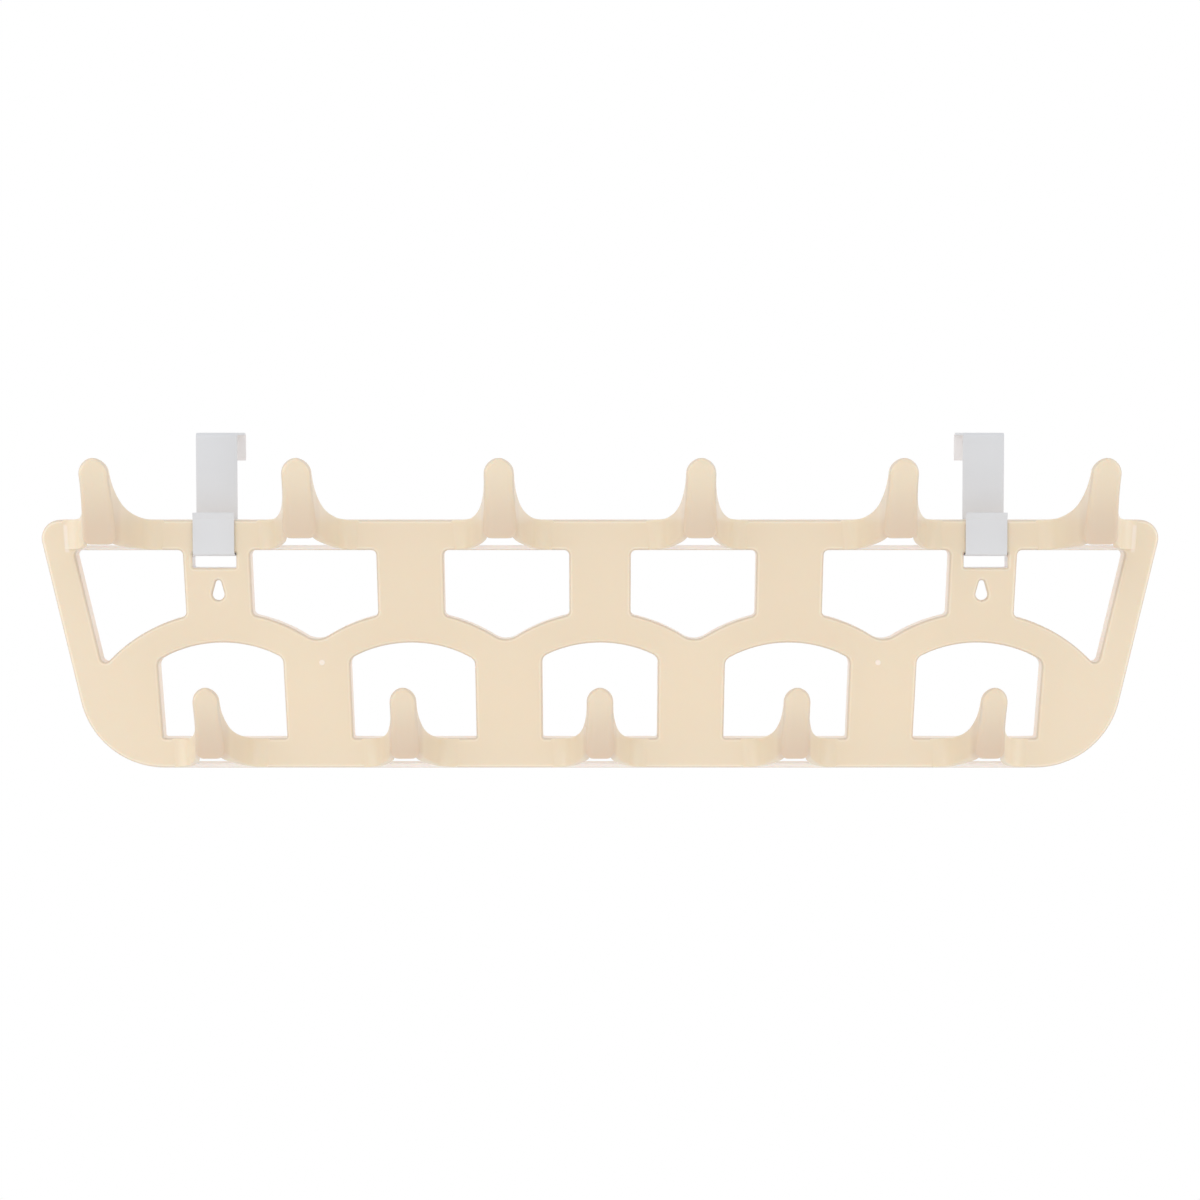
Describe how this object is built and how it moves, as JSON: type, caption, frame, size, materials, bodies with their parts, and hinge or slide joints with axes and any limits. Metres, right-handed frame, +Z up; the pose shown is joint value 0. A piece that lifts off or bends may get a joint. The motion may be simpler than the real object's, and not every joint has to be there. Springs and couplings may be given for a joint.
{
  "type": "over-door hook rack",
  "caption": "Moulded over-door rack with two rows of broad saddle hooks, windows between arched ribs, and a pair of bent straps that hook over a door.",
  "frame": {"origin": "middle of the width, on the door's front face at the door's top edge, where the straps' front strips meet the undersides of their top plates", "axes": "+X to the right seen from the front, -Y is the side with the hooks, +Y goes back over the door, +Z up"},
  "size_m": [0.5386, 0.1095, 0.1619],
  "materials": {
    "ivory_plastic": "satin gloss",
    "strap_grey": "satin"
  },
  "bodies": {
    "rack": {"rack_moulding": "ivory_plastic"},
    "strap_left": {"door_strap_left": "strap_grey"},
    "strap_right": {"door_strap_right": "strap_grey"}
  },
  "joints": [
    {"name": "strap_left_drop", "type": "slide", "parent": "rack", "child": "strap_left", "axis": [0, 0, -1], "range_m": [0, 0.0053]},
    {"name": "strap_right_drop", "type": "slide", "parent": "rack", "child": "strap_right", "axis": [0, 0, -1], "range_m": [0, 0.0053]}
  ]
}
